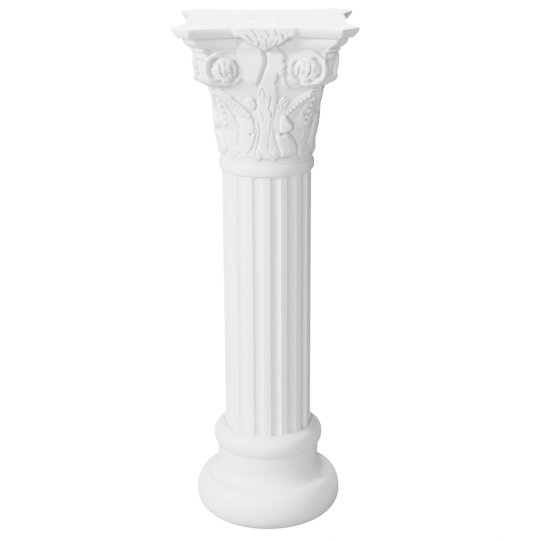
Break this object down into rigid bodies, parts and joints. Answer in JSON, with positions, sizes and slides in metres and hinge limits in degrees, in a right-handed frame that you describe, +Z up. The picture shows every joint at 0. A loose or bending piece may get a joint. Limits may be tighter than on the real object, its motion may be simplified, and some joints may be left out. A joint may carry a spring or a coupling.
{
  "type": "decorative plastic column",
  "caption": "Plastic display column: moulded round base, fluted round shaft and a leafy capital with corner scrolls under a flat plate.",
  "frame": {"origin": "centre of the underside of the base, on the ground", "axes": "+Z up along the column, -Y towards the front, +X to the right seen from the front"},
  "size_m": [0.2896, 0.2896, 0.862],
  "materials": {
    "base_plastic": "white moulded plastic, satin",
    "shaft_plastic": "white extruded plastic, satin",
    "capital_plastic": "white moulded plastic, satin"
  },
  "bodies": {
    "root": {"base": "base_plastic", "shaft": "shaft_plastic", "capital": "capital_plastic"}
  },
  "joints": []
}
